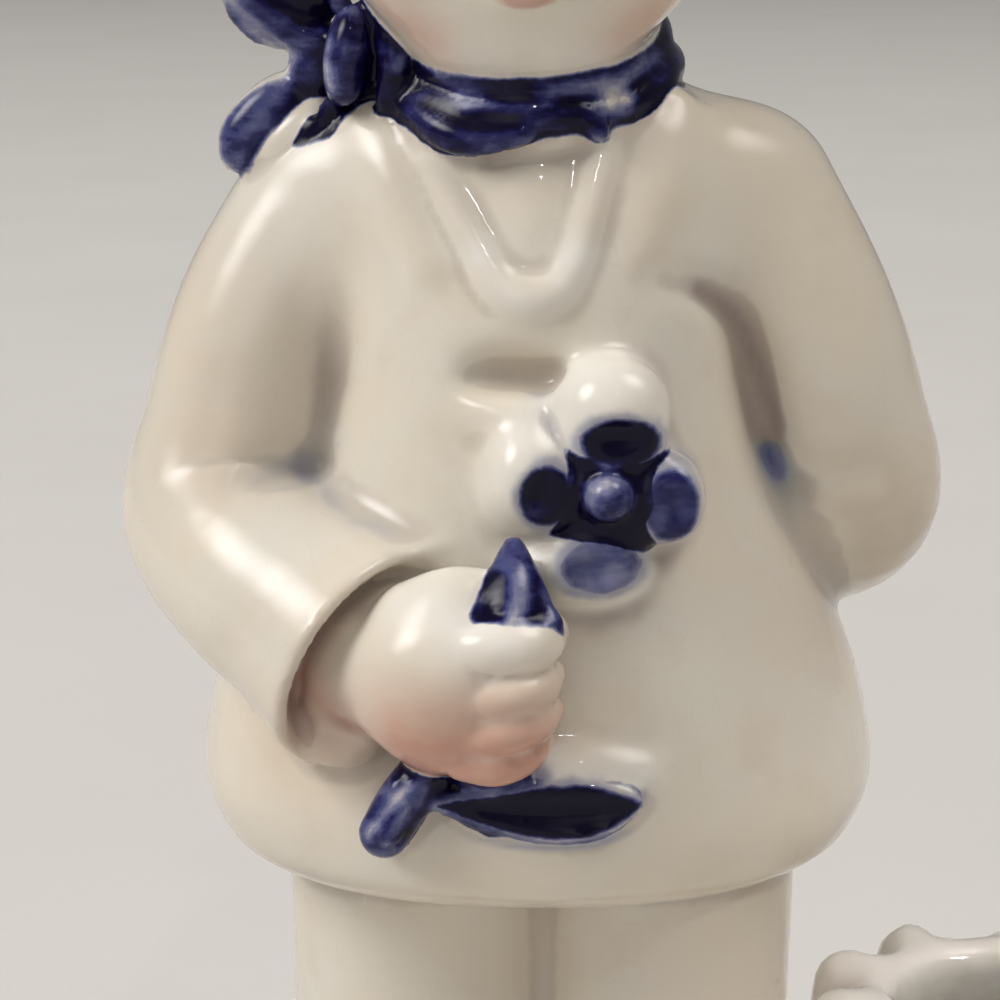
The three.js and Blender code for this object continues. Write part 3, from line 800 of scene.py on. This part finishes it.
milksAndHighlights = [  # whiter glaze along the collar and on the swelling above the leaf; painted highlights on the top of the fist, the left shoulder, the left forearm, the chin and the lit lip under the dent
    ([(-5.1, -18.8, 109.4), (-3.1, -20.4, 106.2), (-0.4, -21.2, 104.8), (2.2, -20.4, 106),
      (3.8, -19, 109.4)], 1.7, 0.8),
    ([(-10.6, -13, 119.3), (-7.2, -17, 113), (-5.1, -18.8, 109.4)], 1.2, 0.4),
    ([(3.8, -19, 109.4), (4.9, -17.6, 113.4), (6.8, -14.2, 119.8)], 1.2, 0.4),
    ([(-11, -30, 78.5), (-7, -33.6, 77.6), (-3, -35, 77)], 3, 1.1),
    ([(1, -28, 63.4), (5.4, -28.4, 62.6), (9.6, -27.4, 62)], 2.2, 0.9),
    ([(-20, -8, 116), (-26, -6, 106)], 6, 0.5),
    ([(-26, -15, 84), (-21, -20, 79)], 5, 0.5),
    ([(-6, -17.2, 127.1), (-0.6, -18.5, 127.6), (5.9, -15.6, 126.9)], 2.6, 0.5),
    ([(-5.4, -20.6, 94.6), (-1.4, -21.6, 94.4), (2, -21.4, 94.6)], 1.2, 0.7),
]
blushesAndShade = [  # the pink of the cheeks and of the wrist inside the cuff; the cuff row and the two rows low on the cheeks are partly painted shade, where shadow falls
    ([(-20.6, -23, 75.6), (-21, -24, 70.6), (-18.4, -25, 66.6)], 4.2, 0.44),
    ([(-11.4, -17.6, 140.5)], 5.4, 0.5),
    ([(9.4, -17.6, 140.5)], 5.4, 0.5),
    ([(-12.6, -14.6, 132.8), (-10, -16.6, 128.4)], 3.4, 0.55),
    ([(10.6, -14.6, 132.8), (8.6, -16.6, 128.6)], 3.4, 0.55),
]
handBlush = {"from": 75.5, "to": 67, "strength": 0.95}
# rounds of smoothing over the skin
paintRounds = {"flat": 8, "wide": 30, "load": 3, "valley": 2, "softValley": 14}


def marks(points, rows):
    # the strength of a table's marks at each point
    total = np.zeros(len(points))
    for line, radius, strength in rows:
        path = limb([[*place, 0] for place in (line if len(line) > 1 else line * 2)], steps=4)
        near = ((points > path["low"] - 3 * radius) & (points < path["high"] + 3 * radius)).all(1)
        x, y, z = points[near].T
        total[near] += strength * np.exp(-(path["distance"](x, y, z) / radius) ** 2)
    return total


def nearest(fields):
    # the least of several fields, and which one it is
    table = np.array(fields)
    return table.min(0), table.argmin(0)


def smoothed(values, edges, degree, rounds):
    for _ in range(rounds):
        values = 0.4 * values + 0.6 * neighbourMean(values, edges, degree)
    return values


def hollowOutlines(x, z):
    # how far each place lies outside the painted outline of each hollow, seen from the front
    outlines = []
    for *_, hx, hz, wide, high in petalShapes:
        outlines.append((np.hypot((x - hx) / wide, (z - hz) / high) - 1) * min(wide, high))
    leaf = limb([[px, 0, pz, r] for px, pz, r in leafOutline], steps=4)
    return outlines + [leaf["distance"](x, 0, z)]


def facePaint(points):
    # small eyes and brows in cobalt, and the coral of the mouth, as distances into each brush stroke
    x, y, z = points.T
    h = headSize
    strokes = []
    for side in (-1, 1):
        ex, ez = h["x"] + side * faceSize["eyeApart"], h["z"] - 1.9
        strokes.append(ball((ex, -21.4, ez), (1.5, 3, 1.6)))
        strokes.append(limb([[ex - 2.7, -20, ez + 0.7, 0.34], [ex, -21.4, ez + 2.3, 0.42],
                             [ex + 2.7, -20, ez + 0.7, 0.34]], steps=4))
        strokes.append(limb([[ex - side * 2.4, -20.6, ez + 5.4, 0.3], [ex + side * 0.8, -20, ez + 6.6, 0.5],
                             [ex + side * 4, -18, ez + 5.4, 0.3]], steps=4))
    eyes = -nearest([stroke["distance"](x, y, z) for stroke in strokes])[0]
    lips = [limb([[h["x"] - half, y1, z1, 0.3], [h["x"], y2, z2, r], [h["x"] + half, y1, z1, 0.3]])
            for half, y1, z1, y2, z2, r in ((4.8, -19.8, 133.7, -21.6, 132.9, 1.0),
                                            (5, -19.6, 135.7, -22, 135.1, 0.8))]
    return eyes, -nearest([lip["distance"](x, y, z) for lip in lips])[0]


def paintOn(points, edges, degree):
    # every number that the glaze material reads, one value a point
    _, each = fieldAtPoints(points, apart=True)
    x, y, z = points.T
    brushed, which = nearest([each[name] for name in brushLoad])
    bare, _ = nearest([each[name] for name in groups if name not in brushLoad])
    load = np.array(list(brushLoad.values()))[which]
    hollow, whichHollow = nearest(hollowOutlines(x, z))
    offFlower = np.minimum(each["petals"], each["leaf"])
    flat = smoothed(points, edges, degree, paintRounds["flat"])
    wide = smoothed(flat, edges, degree, paintRounds["wide"])
    normal = normalAt(points)
    valley = smoothed(((flat - points) * normal).sum(1), edges, degree, paintRounds["valley"])
    eyes, lips = facePaint(points)
    cup = cupSize
    cx, _, cz = flowerSize["centre"]
    ring = flowerSize["ring"] - np.hypot(x - cx, z - cz)
    onFist = np.clip(1 - each["fist"] / 0.6, 0, 1)
    onCupRim = np.clip(1 - each["cup"] / 0.6, 0, 1) * np.clip((z - 20) / 10, 0, 1)
    inCup = np.clip(cup["topRadius"] + 0.4 - np.hypot(x - cup["x"], y - cup["y"]), 0, 1)
    return {
        "brushEdge": np.where(each["petals"] < 2, np.maximum(bare - brushed, ring), bare - brushed),
        "brushLoad": smoothed(load, edges, degree, paintRounds["load"]),
        "touchAndGlint": marks(points, touchesAndGlints),
        "hollowEdge": np.minimum(-hollow, 4.2 - 2 * offFlower),
        "hollowLoad": np.array(hollowLoad + [leafHollowLoad])[whichHollow],
        "valley": valley,  # how deep a place lies below its neighbours, then the same more and more broadly
        "softValley": smoothed(valley, edges, degree, paintRounds["softValley"]),
        "broadValley": ((wide - points) * normal).sum(1),
        "poolAndShadow": marks(points, poolsAndShadows),
        "shade": marks(points, shades),
        # painted shade: grey-olive darkening deeper down inside the candle socket
        "socketShade": inCup * np.clip((cup["rimZ"] - 0.6 - z) / 3, 0, 1),
        "blushAndShade": marks(points, blushesAndShade) + onFist * handBlush["strength"] * np.clip((x + 19) / 6, 0.25, 1)
        * np.clip((handBlush["from"] - z) / (handBlush["from"] - handBlush["to"]), 0, 1),
        # a lighter halo round the petals, painted light on the cup's rim where light falls on it, and the
        # marks listed above
        "milkAndHighlight": 0.6 * np.exp(-(np.maximum(each["petals"], 0) / 1.3) ** 2) + 1.3 * onCupRim
        + marks(points, milksAndHighlights),
        "eyeEdge": eyes,
        "lipEdge": lips,
        "hairEdge": np.minimum.reduce([each[name] for name in groups if name != "hair"]) - each["hair"],
    }


def newObject(name, data):
    made = bpy.data.objects.new(name, data)
    bpy.context.scene.collection.objects.link(made)
    return made


def buildCasting():
    points, faces, edges, degree = makeSkin()
    mesh = bpy.data.meshes.new("candleholder_glazed")
    mesh.vertices.add(len(points))
    mesh.vertices.foreach_set("co", (points * mm).astype(np.float32).ravel())
    mesh.loops.add(faces.size)
    mesh.loops.foreach_set("vertex_index", faces.astype(np.int32).ravel())
    mesh.polygons.add(len(faces))
    mesh.polygons.foreach_set("loop_start", np.arange(0, faces.size, 4, dtype=np.int32))
    mesh.polygons.foreach_set("loop_total", np.full(len(faces), 4, np.int32))
    mesh.polygons.foreach_set("use_smooth", np.ones(len(faces), bool))
    mesh.update(calc_edges=True)
    mesh.validate()
    for name, values in paintOn(points, edges, degree).items():
        layer = mesh.attributes.new(name, "FLOAT", "POINT")
        layer.data.foreach_set("value", np.ascontiguousarray(values, np.float32))
        print("paint", name, "from", round(float(values.min()), 2), "to", round(float(values.max()), 2))
    return newObject("candleholder_glazed", mesh)


casting = buildCasting()


# Camera, floor and light
cameraSize = {"target": (-3.3, 0, 82), "distance": 300, "elevation": 13, "lens": 108, "sensor": 36}


def makeCamera():
    c = cameraSize
    lift = math.radians(c["elevation"])
    target = Vector(c["target"]) * mm
    place = target + Vector((0, -math.cos(lift), math.sin(lift))) * c["distance"] * mm
    data = bpy.data.cameras.new("camera")
    data.lens = c["lens"]
    data.sensor_width = c["sensor"]
    data.clip_start = 0.01
    camera = newObject("camera", data)
    camera.location = place
    camera.rotation_euler = (target - place).to_track_quat("-Z", "Y").to_euler()
    bpy.context.scene.camera = camera
    print("camera placed")


makeCamera()


# The glaze: cream over a buff body, cobalt under it, a little pink and coral on top, with painted shade in
# the creases and hollows and painted highlights on some lit places
glazeTones = {"cream": (0.72, 0.645, 0.535), "warm": (0.625, 0.525, 0.42), "cool": (0.705, 0.66, 0.575),
              "creaseShade": (0.255, 0.19, 0.165), "blushAndShade": (0.55, 0.27, 0.2), "coral": (0.46, 0.2, 0.15),
              "crackle": (0.48, 0.38, 0.28), "white": (0.83, 0.81, 0.77), "socketShade": (0.2, 0.18, 0.13)}
glazeFinish = {"roughness": 0.3, "specular": 0.05, "coatRoughness": 0.065, "coatIor": 1.34,
               "coat": (1.0, 0.5),  # over bare glaze and over the heaviest cobalt
               "uneven": (0.25, 0.5)}  # height in millimetres and strength
cobaltTones = [(0.0, (0.5, 0.52, 0.55)), (0.2, (0.36, 0.355, 0.42)), (0.4, (0.17, 0.175, 0.29)),
               (0.6, (0.06, 0.068, 0.18)), (0.78, (0.016, 0.016, 0.085)), (0.9, (0.005, 0.004, 0.038)),
               (1.0, (0.003, 0.002, 0.017))]


class Nodes:
    # short names for building a node tree; every value may be a number, a colour or another socket
    def __init__(self, tree):
        self.tree = tree

    def add(self, kind, values=None, **settings):
        node = self.tree.nodes.new(kind)
        for key, value in settings.items():
            setattr(node, key, value)
        for key, value in (values or {}).items():
            self.put(node.inputs[key], value)
        return node

    def put(self, socket, value):
        if isinstance(value, bpy.types.NodeSocket):
            self.tree.links.new(value, socket)
        elif isinstance(value, tuple) and socket.type == "RGBA":
            socket.default_value = (*value, 1)
        else:
            socket.default_value = value

    def math(self, operation, a, b):
        return self.add("ShaderNodeMath", {0: a, 1: b}, operation=operation).outputs[0]

    def sum(self, *terms):
        total = terms[0]
        for term in terms[1:]:
            total = self.math("ADD", total, term)
        return total

    def times(self, a, b):
        return self.math("MULTIPLY", a, b)

    def ramp(self, value, low, high, to=(0.0, 1.0)):
        return self.add("ShaderNodeMapRange", {"Value": value, "From Min": low, "From Max": high,
                                               "To Min": to[0], "To Max": to[1]},
                        interpolation_type="SMOOTHSTEP").outputs[0]

    def mix(self, factor, a, b, way="MIX"):
        node = self.add("ShaderNodeMix", data_type="RGBA", blend_type=way)
        for key, value in ((0, factor), (6, a), (7, b)):
            self.put(node.inputs[key], value)
        return node.outputs[2]

    def noise(self, place, size, detail):
        # about -0.5 to 0.5; size in millimetres
        node = self.add("ShaderNodeTexNoise", {"Vector": place, "Scale": 1 / (size * mm), "Detail": detail})
        return self.math("SUBTRACT", node.outputs["Fac"], 0.5)

    def warped(self, place, size, amount):
        # the same place pushed about by a noise, in millimetres
        node = self.add("ShaderNodeTexNoise", {"Vector": place, "Scale": 1 / (size * mm), "Detail": 1.0})
        push = self.add("ShaderNodeVectorMath", {0: node.outputs["Color"], 3: amount * mm},
                        operation="SCALE")
        return self.add("ShaderNodeVectorMath", {0: place, 1: push.outputs[0]}, operation="ADD").outputs[0]

    def attribute(self, name):
        return self.add("ShaderNodeAttribute", attribute_name=name).outputs["Fac"]

    def bump(self, height, distance, strength):
        # distance in millimetres
        return self.add("ShaderNodeBump", {"Height": height, "Distance": distance * mm,
                                           "Strength": strength}).outputs["Normal"]

    def shade(self, values):
        for key, value in values.items():
            self.put(self.tree.nodes["Principled BSDF"].inputs[key], value)


def newMaterial(name):
    # the material, its nodes and the place on the object
    material = bpy.data.materials.new(name)
    material.use_nodes = True
    n = Nodes(material.node_tree)
    return material, n, n.add("ShaderNodeTexCoord").outputs["Object"]


def glazeMaterial():
    material, n, place = newMaterial("paintedGlaze")
    fine = n.noise(place, 1.1, 3.0)
    small = n.noise(place, 2.6, 2.0)
    broad = n.noise(place, 14, 2.0)
    drawn = n.add("ShaderNodeMapping", {"Vector": place, "Scale": (1.0, 1.0, 2.2),
                                        "Rotation": (0.2, 0.3, 0.0)})
    streak = n.noise(drawn.outputs[0], 4.2, 4.0)
    valley, broadValley = n.attribute("valley"), n.attribute("broadValley")
    fold = n.math("MAXIMUM", n.math("MINIMUM", valley, 0.3), -0.12)

    # bare glaze, cooler where it is thick, with the buff body showing at thin places
    thin = n.ramp(n.sum(n.noise(place, 32, 1.0), n.times(valley, -0.8)), 0.02, 0.3, (0.0, 0.7))
    patchy = n.ramp(n.noise(place, 8, 3.0), 0.0, 0.3, (0.0, 0.4))
    # painted shade: the glaze darkened to brown along narrow grooves and broad hollows, where shadow falls
    grooveShade = n.ramp(n.sum(valley, n.times(small, 0.05)), 0.02, 0.1, (0.0, 0.25))
    hollowShade = n.ramp(n.sum(n.attribute("softValley"), n.times(small, 0.05)), 0.03, 0.5, (0.0, 0.55))
    cells = n.add("ShaderNodeTexVoronoi", {"Vector": n.warped(place, 3.0, 0.5), "Scale": 1 / (3.4 * mm)},
                  feature="DISTANCE_TO_EDGE")
    crackle = n.times(n.ramp(cells.outputs["Distance"], 0.0, 0.022, (1.0, 0.0)), n.ramp(broad, -0.1, 0.12))
    # painted shade from the shades table, strongest in the hollows
    shade = n.times(n.attribute("shade"), n.ramp(n.sum(broadValley, n.times(small, 0.1)), -0.05, 0.45))
    # pink blush, and painted shade inside the cuff and low on the cheeks
    blushAndShade = n.times(n.attribute("blushAndShade"), n.ramp(small, -0.4, 0.3, (0.75, 1.0)))
    lips = n.ramp(n.sum(n.attribute("lipEdge"), n.times(fine, 0.4)), -0.25, 0.3, (0.0, 0.65))
    # painted shade deep in the candle socket
    socketShade = n.times(n.attribute("socketShade"), n.ramp(small, -0.3, 0.3, (0.6, 0.9)))
    layers = [  # from the lowest up
        ("warm", thin),
        ("warm", patchy),
        ("creaseShade", n.sum(grooveShade, hollowShade)),
        ("crackle", n.times(crackle, 0.08)),
        ("creaseShade", n.math("MINIMUM", n.times(shade, 0.75), 0.9)),
        ("blushAndShade", n.math("MINIMUM", blushAndShade, 0.85)),
        ("coral", lips),
        # whiter glaze, and painted highlights
        ("white", n.math("MINIMUM", n.times(n.attribute("milkAndHighlight"), 0.6), 0.7)),
        ("socketShade", socketShade),
    ]
    glaze = n.mix(n.ramp(broad, -0.18, 0.18), glazeTones["cream"], glazeTones["cool"])
    for tone, amount in layers:
        glaze = n.mix(amount, glaze, glazeTones[tone])

    # cobalt: thin on the ridges, black-blue where it gathers
    edge = n.ramp(n.sum(n.attribute("brushEdge"), n.times(small, 0.45), n.times(fine, 0.3)), -0.3, 0.35)
    # the touches, some of them painted glints on ridges
    touchAndGlint = n.attribute("touchAndGlint")
    load = n.sum(n.attribute("brushLoad"), touchAndGlint, n.times(fold, 1.5), streak, n.times(fine, 0.2))
    brushed = n.times(edge, n.math("MAXIMUM", load, 0.08))
    hollowEdge = n.attribute("hollowEdge")
    inHollow = n.ramp(n.sum(hollowEdge, n.times(fine, 0.4)), -0.45, 0.4)
    hollow = n.times(inHollow, n.sum(n.attribute("hollowLoad"), touchAndGlint, n.times(streak, 0.5),
                                     n.times(fine, 0.12)))
    wash = n.ramp(n.sum(hollowEdge, n.times(small, 1.2)), -1.5, 0.2, (0.0, 0.24))
    gathered = n.ramp(n.sum(broadValley, n.times(small, 0.3)), -0.1, 0.7, (0.0, 0.65))
    # blue pooled in the creases, and painted shadow under the fist and the leaf
    poolAndShadow = n.times(n.attribute("poolAndShadow"), n.sum(gathered, 0.35))
    eyes = n.times(n.ramp(n.sum(n.attribute("eyeEdge"), n.times(fine, 0.2)), -0.2, 0.2), 0.85)
    between = n.ramp(n.sum(valley, n.times(fine, 0.12)), -0.05, 0.3, (0.0, 0.62))
    hair = n.times(n.ramp(n.attribute("hairEdge"), -0.1, 0.4), n.sum(between, n.times(streak, 0.2)))
    cobalt = brushed
    for other in (hollow, wash, n.times(poolAndShadow, 0.62), eyes, hair):
        cobalt = n.math("MAXIMUM", cobalt, other)
    tones = n.add("ShaderNodeValToRGB", {"Fac": cobalt})
    tones.color_ramp.interpolation = "EASE"
    for k, (at, tone) in enumerate(cobaltTones):
        stops = tones.color_ramp.elements
        stop = stops[k] if k < 2 else stops.new(at)
        stop.position, stop.color = at, (*tone, 1)

    finish = glazeFinish
    uneven = n.bump(n.sum(n.noise(place, 5.5, 1.0), n.times(small, 0.22)), *finish["uneven"])
    n.shade({
        "Base Color": n.mix(n.ramp(cobalt, 0.0, 0.24), glaze, tones.outputs["Color"], "DARKEN"),
        "Roughness": n.sum(finish["roughness"], n.times(small, 0.12)),
        "Specular IOR Level": finish["specular"],
        "Coat Weight": n.ramp(cobalt, 0.55, 0.95, finish["coat"]),
        "Coat Roughness": finish["coatRoughness"],
        "Coat IOR": finish["coatIor"],
        "Normal": uneven,
        "Coat Normal": uneven,
    })
    return material


floorTones = {"light": (0.66, 0.645, 0.62), "dark": (0.635, 0.62, 0.595)}


def floorMaterial():
    # pale paper, a little uneven, with a faint tooth
    material, n, place = newMaterial("floorPaper")
    cloudy, tooth = n.noise(place, 90, 3.0), n.noise(place, 0.8, 3.0)
    mottle = n.ramp(n.sum(cloudy, n.times(tooth, 0.5)), -0.3, 0.3)
    n.shade({"Base Color": n.mix(mottle, floorTones["dark"], floorTones["light"]),
             "Roughness": n.sum(0.85, n.times(tooth, 0.2)),
             "Normal": n.bump(tooth, 0.1, 0.4)})
    return material


def makeFloor():
    bpy.ops.mesh.primitive_plane_add(size=12, location=(0, 0, 0))
    floor = bpy.context.object
    floor.name = "floor"
    floor.data.materials.append(floorMaterial())


makeFloor()


studio = {"world": (1, 0.96, 0.93), "worldStrength": 0.19}
lights = {  # metres and watts
    "softboxLeft": {"place": (-2.4, -0.8, 2.3), "size": 2.8, "power": 355, "colour": (1, 0.99, 0.97)},
    "softboxRight": {"place": (1.5, -0.2, 3), "size": 2.8, "power": 210, "colour": (1, 0.96, 0.92)},
    "frontFill": {"place": (-0.9, -3, 0.9), "size": 3.2, "power": 34, "colour": (1, 0.97, 0.94)},
    "windowHigh": {"place": (0.24, -1.86, 2.16), "size": 0.15, "power": 11},
    "cupFill": {"place": (0.26, -0.16, 0.24), "size": 0.05, "power": 0.0125, "colour": (1, 0.98, 0.95),
                "aim": (0.05, -0.011, 0.034), "spread": 0.26},
}


def softbox(name, place, size, power, colour=(1, 1, 1), aim=(0, 0, 0.09), spread=math.pi):
    # a square light that fades from its middle to its edges, so that its reflection has no border
    data = bpy.data.lights.new(name, "AREA")
    data.size = size
    data.energy = power
    data.spread = spread
    data.color = colour
    data.use_nodes = True
    n = Nodes(data.node_tree)
    across = n.add("ShaderNodeNewGeometry").outputs["Parametric"]
    offMiddle = n.add("ShaderNodeVectorMath", {0: across, 1: (0.5, 0.5, 0)}, operation="DISTANCE")
    fade = n.ramp(offMiddle.outputs["Value"], 0.0, 0.5, (1.0, 0.0))
    n.put(data.node_tree.nodes["Emission"].inputs["Strength"], fade)
    light = newObject(name, data)
    light.location = place
    light.rotation_euler = (Vector(aim) - Vector(place)).to_track_quat("-Z", "Y").to_euler()


def lightStudio():
    world = bpy.data.worlds.new("studio")
    world.use_nodes = True
    background = world.node_tree.nodes["Background"].inputs
    background["Color"].default_value = (*studio["world"], 1)
    background["Strength"].default_value = studio["worldStrength"]
    bpy.context.scene.world = world
    bpy.context.scene.view_settings.view_transform = "Standard"
    for name, settings in lights.items():
        softbox(name, **settings)
    print("floor and", len(lights), "lights in place")


lightStudio()

casting.data.materials.append(glazeMaterial())
print("glaze on the casting")
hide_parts("candleholder")
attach(casting, "root")
